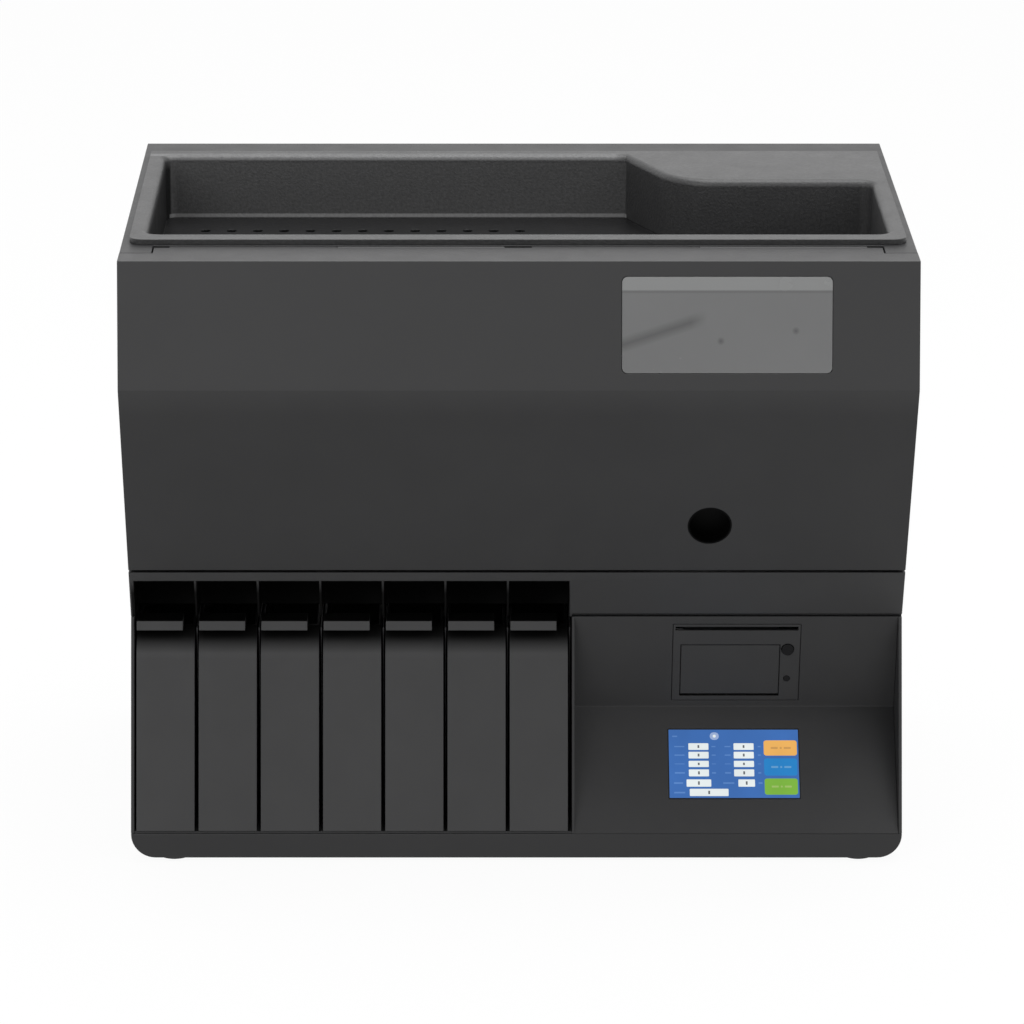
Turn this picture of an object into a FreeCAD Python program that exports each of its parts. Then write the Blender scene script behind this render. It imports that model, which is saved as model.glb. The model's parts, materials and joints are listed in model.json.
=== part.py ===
"""Coin sorting machine: a hopper on top, a disc sorter under a hinged front cover, and coin drawers below."""
import FreeCAD
import Part
import Sketcher

import math
import os
import re

# Driving dimensions, in millimetres. X runs along the front, Y to the back, Z up from the table.
SIZES = {
    # casing
    "body_width": 570, "body_depth": 387, "body_height": 468, "panel": 2.5, "seat_gap": 0.3,
    "foot_height": 3, "foot_radius": 13, "foot_inset": 31.5, "foot_setback": 18, "base_top": 22,
    "base_corner": 18,
    # front profile, measured back from the crease of the front cover
    "crease_height": 374, "brow_setback": 20, "seam_height": 215, "waist_height": 175,
    "waist_setback": 90, "toe_setback": 41,
    # front cover and its hinges
    "cover_wall": 3, "cover_gap": 2.2, "cover_cheek": 14, "strip_depth": 39, "strip_corner_depth": 23,
    "strip_corner_width": 24, "strip_gap": 1, "knuckle_radius": 2.5, "knuckle_gap": 0.6, "hinge_inset": 35,
    "hinge_middle": 10, "hinge_pin_radius": 1.2, "running_gap": 0.05, "hinge_leaf": 14,
    "window_width": 150, "window_sill": 12, "window_head": 10.5, "window_inset": 137,
    "window_corner": 4, "window_pane": 2, "finger_radius": 16, "finger_inset": 145,
    "finger_height": 257, "finger_depth": 14, "finger_wall": 1,
    # hopper
    "lip_height": 4, "lip_setback": 47, "lip_side": 5.5, "lip_corner": 10, "lip_back": 43,
    "rim_round": 5, "well_side": 17.5, "well_front": 66, "well_room": 58, "neck_room": 141,
    "step_inset": 200, "shoulder_inset": 175, "shoulder_room": 115, "curve_inset": 133,
    "well_depth": 49.6, "well_wall": 2.5, "well_corner": 9,
    "throat_inset": 167, "throat_width": 112, "throat_front": 98, "throat_room": 32,
    "throat_wall": 1.5, "throat_drop": 6, "drain_radius": 4, "drain_pitch": 20, "drain_inset": 49,
    "drain_room": 97.5,
    # lintel over the drawers
    "lintel_depth": 46, "lintel_wall": 3, "scoop_radius": 34, "scoop_lead": 4, "scoop_rib": 1.6,
    "seam_depth": 3, "seam_groove": 3,
    # control panel
    "bend_height": 98, "bend_setback": 109, "control_wall": 3.5,
    "screen_width": 97.6, "screen_bottom": 42.7, "screen_top": 84.3, "screen_inset": 123,
    "screen_glass": 2.4, "screen_board": 6,
    "printer_width": 95, "printer_top": 168.5, "printer_bottom": 103, "printer_inset": 121.5,
    "printer_depth": 60, "printer_wall": 2, "bezel_depth": 5, "slot_height": 164.6, "slot_width": 3,
    "slot_margin": 2, "door_width": 73, "door_top": 150.5, "door_bottom": 109, "door_side": 126,
    "door_wall": 2.5, "door_gap": 0.5, "door_inset": 4, "door_knuckle": 2.2, "door_pin_radius": 1.2,
    "door_pin_reach": 3, "door_relief": 5,
    "button_radius": 4.4, "button_inset": 83.5, "button_height": 147, "button_length": 9,
    "button_proud": 1.6, "lamp_radius": 2.4, "lamp_height": 122, "lamp_proud": 0.4, "lamp_length": 6,
    "roll_setback": 8, "roll_radius": 15, "roll_core": 6, "paper_width": 57, "platen_radius": 5,
    "platen_pin_radius": 1.5, "lug_wall": 2,
    # coin drawers
    "drawer_pitch": 46, "drawer_gap": 3, "drawer_wall": 2, "drawer_top": 165, "drawer_room": 133.5,
    "drawer_scoop_height": 146, "drawer_scoop": 14, "grip_margin": 0.5, "grip_width": 34,
    "grip_reach": 5, "grip_top": 173.5, "grip_thick": 6.8, "grip_root": 4, "divider": 1, "shelf": 1.5,
    "shelf_room": 15,
    # sorting deck
    "deck_height": 305, "deck_plate": 4, "deck_setback": 117.5, "deck_room": 43.5, "deck_rail": 12,
    "disc_inset": 111, "disc_setback": 207.5, "disc_radius": 80, "disc_thick": 6, "disc_lift": 3,
    "shaft_radius": 6, "shaft_clearance": 1,
    "hub_radius": 20, "hub_height": 9, "guard_gap": 2, "guard_wall": 3, "guard_height": 24,
    "guard_mouth": 60, "motor_radius": 30, "motor_height": 70, "belt_motor_radius": 14,
    "chute_width": 36, "chute_length": 34, "chute_clear": 2, "chute_wall": 1.5,
    "fence_width": 6, "fence_height": 10, "sensor_width": 24, "sensor_length": 20, "sensor_height": 16,
    "cut_over": 1,
    "pulley_radius": 14, "pulley_height": 12, "pulley_lift": 3, "belt_thick": 2, "belt_clear": 11,
    "belt_inset": 23, "axle_radius": 4, "gate_gap": 1.5, "gate_thick": 2.5, "pivot_radius": 2,
    "solenoid_width": 20, "solenoid_length": 24, "solenoid_height": 30,
    # electrics
    "board_width": 180, "board_height": 110, "board_thick": 2, "board_inset": 225, "board_bottom": 65,
    "standoff": 14, "standoff_radius": 4, "standoff_inset": 8,
    "supply_width": 160, "supply_depth": 70, "supply_height": 45, "supply_inset": 45,
    "supply_room": 93.5,
    "inlet_width": 48, "inlet_height": 28, "inlet_inset": 105, "inlet_bottom": 65, "inlet_depth": 24,
    "socket_width": 25, "socket_height": 17, "socket_depth": 17,
    "switch_width": 22, "switch_height": 15, "switch_space": 34, "switch_depth": 16,
    "rocker_gap": 0.8, "rocker_depth": 5, "rocker_inset": 1.5, "switch_rim": 1.5, "switch_well": 13,
    "vent_pitch": 9, "vent_width": 60, "vent_height": 4, "vent_inset": 135,
    "screw_radius": 3, "screw_inset": 14, "screw_length": 10, "screw_gap": 0.1,
}
DRAWERS = 7
GATES = DRAWERS - 1
DRAINS = 13
VENTS = 8
NEAR = 0.001
CURVE_STEPS = 7

doc = FreeCAD.newDocument("coin_sorting_machine")
sheet = doc.addObject("Spreadsheet::Sheet", "sizes")
for row, (alias, value) in enumerate(SIZES.items(), start=1):
    sheet.set(f"A{row}", alias)
    sheet.set(f"B{row}", str(value))
    sheet.setAlias(f"B{row}", alias)
doc.recompute()

WORD = re.compile(r"[a-z_]{3,}[a-z]")


def bound(text):
    """The expression with every place written out and every size's name written as a cell of the sheet."""
    def swap(match):
        word = match.group(0)
        if word in PLACES:
            return f"({bound(PLACES[word])})"
        return "sizes." + word if word in SIZES else word
    return WORD.sub(swap, str(text))


def number(text):
    return float(sheet.evalExpression(bound(text)))


def tie(item, prop, text):
    item.setExpression(prop, bound(text))


# Places that follow the size of the casing, as expressions.
FRONT = "(-body_depth / 2)"
BACK = "(body_depth / 2)"
SIDE = "(body_width / 2)"
INNER = f"({SIDE} - panel)"
STRIP = "(body_height - lip_height)"
TOP_EDGE = f"({FRONT} + brow_setback)"
PLACES = {
    "knuckle_length": f"({SIDE} - hinge_inset - hinge_middle) / 2",
    "window_x": f"{SIDE} - window_inset",
    "window_top": f"{STRIP} - window_head",
    "window_bottom": "crease_height + window_sill",
    "finger_x": f"{SIDE} - finger_inset",
    "well_right": f"{SIDE} - well_side",
    "well_step_x": f"{SIDE} - step_inset",
    "well_shoulder_x": f"{SIDE} - shoulder_inset",
    "well_curve_x": f"{SIDE} - curve_inset",
    "well_back": "body_depth - brow_setback - well_room",
    "well_neck": "body_depth - brow_setback - neck_room",
    "well_shoulder": "body_depth - brow_setback - shoulder_room",
    "throat_left": f"{SIDE} - throat_inset",
    "throat_length": "well_neck - throat_front - throat_room",
    "throat_bottom": "deck_height + guard_height + throat_drop",
    "drain_first_x": f"drain_inset - {SIDE}",
    "drain_y": f"{BACK} - drain_room",
    "control_left": f"drawer_gap / 2 + {DRAWERS} * drawer_pitch - {INNER}",
    "screen_x": f"{SIDE} - screen_inset",
    "printer_x": f"{SIDE} - printer_inset",
    "door_x": f"{SIDE} - door_side",
    "button_x": f"{SIDE} - button_inset",
    "drawer_back": f"{BACK} - drawer_room",
    "shelf_back": "drawer_back + shelf_room",
    "deck_front": f"{FRONT} + deck_setback",
    "deck_back": f"{BACK} - deck_room",
    "disc_x": f"{SIDE} - disc_inset",
    "disc_y": f"{FRONT} + disc_setback",
    "chute_y": f"{FRONT} + waist_setback + lintel_depth + chute_wall + chute_clear",
    "chute_bottom": "waist_height + chute_clear",
    "belt_left_x": f"belt_inset - {SIDE}",
    "belt_right_x": "disc_x - disc_radius - guard_gap - guard_wall - pulley_radius - belt_thick - belt_clear",
    "board_x": f"{SIDE} - board_inset",
    "supply_x": f"supply_inset - {SIDE}",
    "supply_y": f"{BACK} - supply_room",
    "inlet_x": f"inlet_inset - {SIDE}",
    "switch_x": "inlet_x + inlet_width + switch_space",
    "vent_x": f"{SIDE} - vent_inset",
}


def brow_y(z):
    """Y on the upper front face at height z."""
    return f"({FRONT} + brow_setback * (({z}) - crease_height) / ({STRIP} - crease_height))"


def slope_y(z):
    """Y on the lower front face at height z."""
    return f"({FRONT} + waist_setback * (crease_height - ({z})) / (crease_height - waist_height))"


def toe_y(z):
    """Y on the drawer fronts at height z."""
    return (f"({FRONT} + toe_setback + (waist_setback - toe_setback) * (({z}) - base_top)"
            " / (waist_height - base_top))")


def screen_y(z):
    """Y on the screen face of the control panel at height z."""
    return (f"({FRONT} + toe_setback + (bend_setback - toe_setback) * (({z}) - base_top)"
            " / (bend_height - base_top))")


def printer_y(z):
    """Y on the printer face of the control panel at height z."""
    return (f"({FRONT} + waist_setback + (bend_setback - waist_setback) * (waist_height - ({z}))"
            " / (waist_height - bend_height))")


def box(name, x, y, z, dx, dy, dz):
    item = doc.addObject("Part::Box", name)
    for prop, text in (("Length", dx), ("Width", dy), ("Height", dz)):
        tie(item, prop, text)
    for axis, text in (("x", x), ("y", y), ("z", z)):
        tie(item, f"Placement.Base.{axis}", text)
    return item


TURN = {
    "X": FreeCAD.Rotation(FreeCAD.Vector(0, 1, 0), 90),
    "Y": FreeCAD.Rotation(FreeCAD.Vector(1, 0, 0), -90),
    "Z": FreeCAD.Rotation(),
}


def rod(name, axis, x, y, z, radius, length):
    """A cylinder that starts at x, y, z and runs along a positive axis."""
    item = doc.addObject("Part::Cylinder", name)
    item.Placement = FreeCAD.Placement(FreeCAD.Vector(), TURN[axis])
    tie(item, "Radius", radius)
    tie(item, "Height", length)
    for letter, text in (("x", x), ("y", y), ("z", z)):
        tie(item, f"Placement.Base.{letter}", text)
    return item


def join(name, items):
    item = doc.addObject("Part::MultiFuse", name)
    item.Shapes = items
    return item


def cut(name, base, *tools):
    item = doc.addObject("Part::Cut", name)
    item.Base = base
    item.Tool = tools[0] if len(tools) == 1 else join(name + "_tools", list(tools))
    return item


def group(name, items):
    """Separate solids in one node."""
    item = doc.addObject("Part::Compound", name)
    item.Links = items
    return item


PLANES = {"XY": "XY_Plane", "XZ": "XZ_Plane", "YZ": "YZ_Plane"}


def outline(body, name, plane, offset, corners, curved=None):
    """A closed sketch through corners. The edge that starts at corner number curved is an arc that
    ends tangent to the edge after it."""
    sketch = body.newObject("Sketcher::SketchObject", name)
    origin = [f for f in body.Origin.OriginFeatures if f.Role == PLANES[plane]][0]
    sketch.AttachmentSupport = [(origin, "")]
    sketch.MapMode = "FlatFace"
    tie(sketch, "AttachmentOffset.Base.z", offset)
    points = [FreeCAD.Vector(number(u), number(v), 0) for u, v in corners]
    count = len(points)
    for i, start in enumerate(points):
        end = points[(i + 1) % count]
        if i == curved:
            rise = end.y - start.y
            radius = ((end.x - start.x) ** 2 + rise ** 2) / (2 * abs(rise))
            centre = FreeCAD.Vector(end.x, end.y - radius if rise > 0 else end.y + radius, 0)
            middle = (start + end) * 0.5 - centre
            bulge = centre + middle.normalize() * radius
            sketch.addGeometry(Part.Arc(start, bulge, end), False)
        else:
            sketch.addGeometry(Part.LineSegment(start, end), False)
    starts = {i: 1 for i in range(count)}
    ends = {i: 2 for i in range(count)}
    if curved is not None:
        arc_start = sketch.getPoint(curved, 1)
        if (arc_start - points[curved]).Length > (arc_start - points[(curved + 1) % count]).Length:
            starts[curved], ends[curved] = 2, 1
    for i in range(count):
        after = (i + 1) % count
        kind = "Tangent" if i == curved else "Coincident"
        sketch.addConstraint(Sketcher.Constraint(kind, i, ends[i], after, starts[after]))
    for i, (u, v) in enumerate(corners):
        for kind, text in (("DistanceX", u), ("DistanceY", v)):
            index = sketch.addConstraint(Sketcher.Constraint(kind, -1, 1, i, starts[i], number(text)))
            tie(sketch, f"Constraints[{index}]", text)
    return sketch


def pad(body, name, plane, offset, corners, length, curved=None, reverse=False):
    """Adds an outline padded by a length to a body. It grows along +X on YZ, -Y on XZ and +Z on XY."""
    feature = body.newObject("PartDesign::Pad", name)
    feature.Profile = outline(body, name + "_outline", plane, offset, corners, curved)
    feature.Reversed = reverse
    tie(feature, "Length", length)
    return feature


def pocket(body, name, plane, offset, corners, length, curved=None, reverse=False):
    """Cuts an outline from a body. It cuts along -Z on XY, and along +Z with reverse."""
    feature = body.newObject("PartDesign::Pocket", name)
    feature.Profile = outline(body, name + "_outline", plane, offset, corners, curved)
    feature.Reversed = reverse
    tie(feature, "Length", length)
    return feature


def slab(name, x, width, corners):
    """A side-view outline (Y, Z) that runs along X from x for a width."""
    body = doc.addObject("PartDesign::Body", name)
    pad(body, name + "_pad", "YZ", x, corners, width)
    return body


def leaf(y_of, low, high, front, back):
    """Corners of a plate that follows a front face between two heights, front to back of that face."""
    return [(f"{y_of(low)} + {front}", low), (f"{y_of(high)} + {front}", high),
            (f"{y_of(high)} + {back}", high), (f"{y_of(low)} + {back}", low)]


def soften(body, feature, name, radius, test, along=None):
    """Rounds the edges of a feature that run along an axis, where one is named, and pass a test."""
    doc.recompute()
    names = []
    for i, edge in enumerate(feature.Shape.Edges, start=1):
        ends = [v.Point for v in edge.Vertexes]
        run = ends[0] - ends[-1]
        straight = along is None or abs(abs(getattr(run, along)) - run.Length) < NEAR
        if straight and all(test(p) for p in ends):
            names.append(f"Edge{i}")
    fillet = body.newObject("PartDesign::Fillet", name)
    fillet.Base = (feature, names)
    tie(fillet, "Radius", radius)
    return fillet


def round_block(name, x, y, z, dx, dy, dz, radius):
    """A block along Y whose four corners in front view are rounded."""
    body = doc.addObject("PartDesign::Body", name)
    block = pad(body, name + "_pad", "XZ", f"-({y})", rect(x, z, dx, dz), dy, reverse=True)
    soften(body, block, name + "_corners", radius, lambda p: True, "y")
    return body


def rect(x, y, dx, dy):
    return [(x, y), (f"({x}) + ({dx})", y), (f"({x}) + ({dx})", f"({y}) + ({dy})"), (x, f"({y}) + ({dy})")]


PARTS = {}


def piece(name, item):
    """Hands in an object as the sub-part of that name."""
    item.Label = name
    PARTS[name] = item


# Casing

HINGE_Y = f"({TOP_EDGE} + strip_depth + knuckle_radius + knuckle_gap)"
HINGE_Z = f"({STRIP} - knuckle_radius)"


def base_pan():
    """Shallow floor tray with round lower corners."""
    body = doc.addObject("PartDesign::Body", "pan")
    front = toe_y("base_top")
    depth = f"({BACK} - {front})"
    tray = pad(body, "tray", "XZ", f"-({front})",
               rect(f"-{SIDE}", "foot_height", "body_width", "base_top - foot_height"), depth, reverse=True)
    floor = number("foot_height")
    soften(body, tray, "tray_corners", "base_corner", lambda p: abs(p.z - floor) < NEAR, "y")
    pocket(body, "tray_inside", "XY", "base_top",
           rect(f"-{SIDE} + base_corner", f"{front} + panel", "body_width - 2 * base_corner",
                f"{depth} - 2 * panel"), "base_top - foot_height - panel")
    piece("base_pan", body)


def feet():
    pads = []
    for i, (sx, y) in enumerate((sx, y) for sx in (-1, 1)
                                for y in (f"{toe_y('base_top')} + foot_setback", f"{BACK} - foot_inset")):
        pads.append(rod(f"foot_{i}", "Z", f"{sx} * ({SIDE} - foot_inset)", y, "0", "foot_radius",
                        "foot_height"))
    piece("rubber_feet", group("feet", pads))


def side_panels():
    """Flat end walls. The cover's cheeks close in front of them above the seam."""
    behind = "cover_cheek + cover_gap"
    low, high = "base_top", f"{STRIP} - panel"
    under_cover = f"{STRIP} - cover_wall - cover_gap"
    corner = f"{TOP_EDGE} + strip_corner_depth + strip_gap"
    corners = [
        (toe_y(low), low), (toe_y("waist_height"), "waist_height"),
        (f"{slope_y('waist_height')} + lintel_depth", "waist_height"),
        (f"{slope_y('waist_height')} + lintel_depth", "seam_height"),
        (f"{slope_y('seam_height')} + {behind}", "seam_height"),
        (f"{FRONT} + {behind}", "crease_height"),
        (f"{TOP_EDGE} + {behind}", under_cover), (corner, under_cover), (corner, high),
        (BACK, high), (BACK, low),
    ]
    piece("left_side_panel", slab("left_panel", f"-{SIDE}", "panel", corners))
    piece("right_side_panel", slab("right_panel", INNER, "panel", corners))


def rear_panel():
    low, high = "base_top", f"{STRIP} - panel"
    plate = box("rear_plate", f"-{INNER}", f"{BACK} - panel", low, f"2 * {INNER}", "panel",
                f"{high} - {low}")
    holes = [box("inlet_hole", "inlet_x", f"{BACK} - 2 * panel", "inlet_bottom", "inlet_width", "3 * panel",
                 "inlet_height"),
             box("switch_hole", "switch_x", f"{BACK} - 2 * panel", "inlet_bottom", "switch_width",
                 "3 * panel", "switch_height")]
    for side in (-1, 1):
        for i in range(VENTS):
            holes.append(box(f"vent_{side + 1}_{i}", f"{side} * vent_x - vent_width / 2",
                             f"{BACK} - 2 * panel", f"waist_height + {i} * vent_pitch", "vent_width",
                             "3 * panel", "vent_height"))
    screws = []
    for i, (sx, z) in enumerate((sx, z) for sx in (-1, 1) for z in (f"{low} + screw_inset",
                                                                    f"{high} - screw_inset")):
        x = f"{sx} * ({INNER} - screw_inset)"
        holes.append(rod(f"rear_screw_hole_{i}", "Y", x, f"{BACK} - 2 * panel", z, "screw_radius",
                         "3 * panel"))
        screws.append(rod(f"rear_screw_{i}", "Y", x, f"{BACK} - screw_length", z,
                          "screw_radius - screw_gap", "screw_length"))
    piece("rear_panel", cut("rear", plate, *holes))
    piece("rear_screws", group("screws_behind", screws))


def top_frame():
    """Plate round the hopper. Its front corners stand beside the cover's strip."""
    low = f"{STRIP} - panel"
    corner_y = f"{TOP_EDGE} + strip_corner_depth + strip_gap"
    strip_end = f"{HINGE_Y} + knuckle_radius + strip_gap"
    plate = box("frame_plate", f"-{SIDE}", corner_y, low, "body_width", f"{BACK} - ({corner_y})", "panel")
    corner = "(strip_corner_width - strip_gap)"
    notch = box("frame_notch", f"-{SIDE} + {corner}", FRONT, f"{low} - panel", f"body_width - 2 * {corner}",
                f"{strip_end} - {FRONT}", "3 * panel")
    room = "(well_wall + seat_gap)"
    well = box("frame_well", f"-well_right - {room}", f"{TOP_EDGE} + well_front - {room}", f"{low} - panel",
               f"2 * well_right + 2 * {room}", f"well_back - well_front + 2 * {room}", "3 * panel")
    piece("top_frame", cut("frame", plate, notch, well))


def hopper_tray():
    """Coin tray with a raised lip, a curved shoulder, a throat over the disc and a row of drain holes."""
    body = doc.addObject("PartDesign::Body", "hopper")
    half = f"({SIDE} - lip_side)"
    lip_front = f"{TOP_EDGE} + lip_setback"
    lip_depth = "body_depth - brow_setback - lip_setback - lip_back"
    lip = rect(f"-{half}", lip_front, f"2 * {half}", lip_depth)
    flange = pad(body, "flange", "XY", STRIP, lip, "lip_height")
    lip_y, lip_end = number(lip_front), number(f"{lip_front} + {lip_depth}")
    soften(body, flange, "round_lip", "lip_corner", lambda p: abs(p.y - lip_y) < NEAR, "z")

    def well(grow):
        front, shoulder = f"{TOP_EDGE} + well_front - {grow}", f"{TOP_EDGE} + well_shoulder + {grow}"
        back, neck = f"{TOP_EDGE} + well_back + {grow}", f"{TOP_EDGE} + well_neck + {grow}"
        left, right = f"-well_right - {grow}", f"well_right + {grow}"
        return [(left, front), (left, back), (f"well_step_x + {grow}", back),
                (f"well_shoulder_x + {grow}", shoulder), (f"well_curve_x + {grow}", neck),
                (right, neck), (right, front)]

    pad(body, "bowl", "XY", STRIP, well("well_wall"), "well_depth - lip_height + well_wall", 3, True)
    inside = pocket(body, "inside", "XY", "body_height", well("0"), "well_depth", 3)
    top, reach = number("body_height"), number("well_right")

    def within_lip(p):
        return lip_y + NEAR < p.y < lip_end - NEAR

    corners = soften(body, inside, "round_corners", "well_corner",
                     lambda p: within_lip(p) and abs(abs(p.x) - reach) < NEAR, "z")
    soften(body, corners, "round_rim", "rim_round",
           lambda p: within_lip(p) and abs(p.z - top) < NEAR and abs(p.x) < reach + NEAR)
    hole = rect("throat_left", f"{TOP_EDGE} + throat_front", "throat_width", "throat_length")
    pocket(body, "throat", "XY", "body_height", hole, "2 * well_depth")
    drains = [rod(f"drain_{i}", "Z", f"drain_first_x + {i} * drain_pitch", "drain_y",
                  "body_height - 2 * well_depth", "drain_radius", "2 * well_depth") for i in range(DRAINS)]
    piece("hopper_tray", cut("hopper_with_drains", body, *drains))


# Front cover

def front_cover():
    """Folded sheet with end cheeks, a window hole, a finger hole and two hinge knuckles."""
    seam = "(seam_height + cover_gap)"
    wall = "cover_wall"
    sheet_body = slab("cover_sheet", f"-{SIDE}", "body_width", [
        (f"{TOP_EDGE} + strip_depth", STRIP), (TOP_EDGE, STRIP), (FRONT, "crease_height"),
        (slope_y(seam), seam),
        (f"{slope_y(seam)} + {wall}", seam), (f"{FRONT} + {wall}", "crease_height"),
        (f"{TOP_EDGE} + {wall}", f"{STRIP} - {wall}"), (f"{TOP_EDGE} + strip_depth", f"{STRIP} - {wall}")])
    cheek = [(TOP_EDGE, STRIP), (FRONT, "crease_height"), (slope_y(seam), seam),
             (f"{slope_y(seam)} + cover_cheek", seam), (f"{FRONT} + cover_cheek", "crease_height"),
             (f"{TOP_EDGE} + cover_cheek", STRIP)]
    shapes = [sheet_body, slab("left_cheek", f"-{SIDE}", "panel", cheek),
              slab("right_cheek", INNER, "panel", cheek)]
    for i, x in enumerate(hinge_places()):
        shapes.append(rod(f"cover_knuckle_{i}", "X", x, HINGE_Y, HINGE_Z, "knuckle_radius",
                          "knuckle_length"))
        shapes.append(box(f"cover_arm_{i}", x, f"{TOP_EDGE} + strip_depth - {wall}", f"{STRIP} - {wall}",
                          "knuckle_length", f"{HINGE_Y} - {TOP_EDGE} - strip_depth + {wall}", wall))
    holes = [window_block("window_hole", "0"), finger_rod("finger_hole", "finger_radius")]
    for i, x in enumerate((f"-{SIDE}", f"{SIDE} - strip_corner_width")):
        holes.append(box(f"strip_corner_{i}", x, f"{TOP_EDGE} + strip_corner_depth",
                         f"{STRIP} - 2 * {wall}", "strip_corner_width", "strip_depth", f"3 * {wall}"))
    for i, x in enumerate(hinge_places()):
        holes.append(rod(f"knuckle_bore_{i}", "X", f"{x} - knuckle_length", HINGE_Y, HINGE_Z,
                         "hinge_pin_radius + running_gap", "3 * knuckle_length"))
    piece("front_cover", cut("cover", join("cover_joined", shapes), *holes))


def hinge_places():
    """Left end of each cover knuckle."""
    return f"-{SIDE} + hinge_inset", f"{SIDE} - hinge_inset - 2 * knuckle_length - seat_gap"


def window_block(name, gap):
    """The window's outline as a block through the upper front face."""
    return round_block(name, f"window_x - window_width / 2 + {gap}", f"{FRONT} - cover_wall",
                       f"window_bottom + {gap}", f"window_width - 2 * {gap}",
                       "brow_setback + 4 * cover_wall",
                       f"window_top - window_bottom - 2 * {gap}", "window_corner")


def finger_rod(name, radius):
    return rod(name, "Y", "finger_x", FRONT, "finger_height", radius, "body_depth / 2")


def viewing_window():
    pane = slab("pane_sheet", "window_x - window_width", "2 * window_width",
                leaf(brow_y, "crease_height", STRIP, "0", "window_pane"))
    item = doc.addObject("Part::Common", "pane")
    item.Base = pane
    item.Tool = window_block("pane_block", "seat_gap")
    piece("viewing_window", item)


def finger_cup():
    """Round cup set in the finger hole, its rim flush with the sloping face."""
    low, high = "finger_height - 2 * finger_radius", "finger_height + 2 * finger_radius"
    depth = slab("cup_depth", "finger_x - 2 * finger_radius", "4 * finger_radius",
                 leaf(slope_y, low, high, "0", "finger_depth"))
    hollow = slab("cup_hollow", "finger_x - 2 * finger_radius", "4 * finger_radius",
                  leaf(slope_y, low, high, "-finger_wall", "finger_depth - finger_wall"))
    outer = doc.addObject("Part::Common", "cup_outer")
    outer.Base = depth
    outer.Tool = finger_rod("cup_rod", "finger_radius - screw_gap")
    inner = doc.addObject("Part::Common", "cup_inner")
    inner.Base = hollow
    inner.Tool = finger_rod("cup_bore", "finger_radius - screw_gap - finger_wall")
    piece("finger_cup", cut("cup", outer, inner))


def cover_hinges():
    """Fixed leaves under the top frame, and the pins that the cover turns on."""
    leaves, pins = [], []
    for i, x in enumerate(hinge_places()):
        start = f"{x} + knuckle_length + seat_gap"
        under = f"{STRIP} - panel"
        barrel = rod(f"leaf_barrel_{i}", "X", start, HINGE_Y, HINGE_Z, "knuckle_radius", "knuckle_length")
        plate = box(f"leaf_plate_{i}", start, HINGE_Y, f"{HINGE_Z} - knuckle_radius", "knuckle_length",
                    "hinge_leaf", f"{under} - {HINGE_Z} + knuckle_radius")
        bore = rod(f"leaf_bore_{i}", "X", f"{start} - knuckle_length", HINGE_Y, HINGE_Z,
                   "hinge_pin_radius + running_gap", "3 * knuckle_length")
        leaves.append(cut(f"hinge_leaf_{i}", join(f"leaf_joined_{i}", [barrel, plate]), bore))
        pins.append(rod(f"hinge_pin_{i}", "X", x, HINGE_Y, HINGE_Z, "hinge_pin_radius",
                        "2 * knuckle_length + seat_gap"))
    piece("hinge_leaves", group("leaves", leaves))
    piece("hinge_pins", group("pins", pins))


# Lintel and control panel

def drawer_left(i):
    """Left side of drawer number i, from 0."""
    return f"(-{INNER} + drawer_gap / 2 + {i} * drawer_pitch)"


def drawer_lintel():
    """Sloping beam with a finger scoop above each drawer and a groove over the control panel."""
    front, back = slope_y("waist_height"), f"{slope_y('waist_height')} + lintel_depth"
    beam = slab("lintel_beam", f"-{SIDE}", "body_width", [
        (slope_y("seam_height"), "seam_height"), (front, "waist_height"),
        (back, "waist_height"), (back, "seam_height")])
    scoops = [rod(f"scoop_{i}", "X", f"{drawer_left(i)} - drawer_gap / 2 + scoop_rib / 2",
                  f"{front} - scoop_lead", "waist_height", "scoop_radius", "drawer_pitch - scoop_rib")
              for i in range(DRAWERS)]
    hollow = box("lintel_hollow", "control_left + lintel_wall", f"{front} + seam_depth + lintel_wall",
                 "waist_height + lintel_wall", f"{SIDE} - control_left - 2 * lintel_wall", "lintel_depth",
                 "seam_height - waist_height - 2 * lintel_wall")
    groove = box("lintel_groove", "control_left", f"{front} - cut_over", "waist_height",
                 f"{SIDE} - control_left + cut_over", "seam_depth + cut_over", "seam_groove")
    piece("drawer_lintel", cut("lintel", beam, *scoops, hollow, groove))


def control_panel():
    """Bent panel: printer face above the bend, screen face below it, and a cheek beside the drawers."""
    bend, top = f"{FRONT} + bend_setback", f"{FRONT} + waist_setback"
    low, toe = "base_top", toe_y("base_top")
    face = slab("control_face", "control_left", f"{INNER} - control_left", [
        (toe, low), (bend, "bend_height"), (top, "waist_height"), (f"{top} + control_wall", "waist_height"),
        (f"{bend} + control_wall", "bend_height"), (f"{toe} + control_wall", low)])
    cheek = slab("control_cheek", "control_left", "drawer_wall", [
        (toe, low), (top, "waist_height"), (f"{bend} + control_wall / 2", "bend_height")])
    holes = [slab("screen_hole", "screen_x - screen_width / 2", "screen_width",
                  leaf(screen_y, "screen_bottom", "screen_top", "-2 * control_wall", "2 * control_wall")),
             slab("printer_hole", "printer_x - printer_width / 2", "printer_width",
                  leaf(printer_y, "printer_bottom", "printer_top", "-2 * control_wall",
                       "2 * control_wall"))]
    piece("control_panel", cut("control", join("control_joined", [face, cheek]), *holes))


def touch_screen():
    gap = "seat_gap"
    width = f"screen_width - 2 * {gap}"
    left = f"screen_x - screen_width / 2 + {gap}"
    low, high = f"(screen_bottom + {gap})", f"(screen_top - {gap})"
    piece("touch_screen", slab("glass", left, width, leaf(screen_y, low, high, "0", "screen_glass")))
    piece("display_board", slab("display", left, width,
                                leaf(screen_y, low, high, "screen_glass", "screen_glass + screen_board")))


# Receipt printer

def door_axis():
    return (f"({printer_y('door_bottom')} + door_knuckle + seat_gap)",
            "(door_bottom + door_knuckle + seat_gap)")


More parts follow.
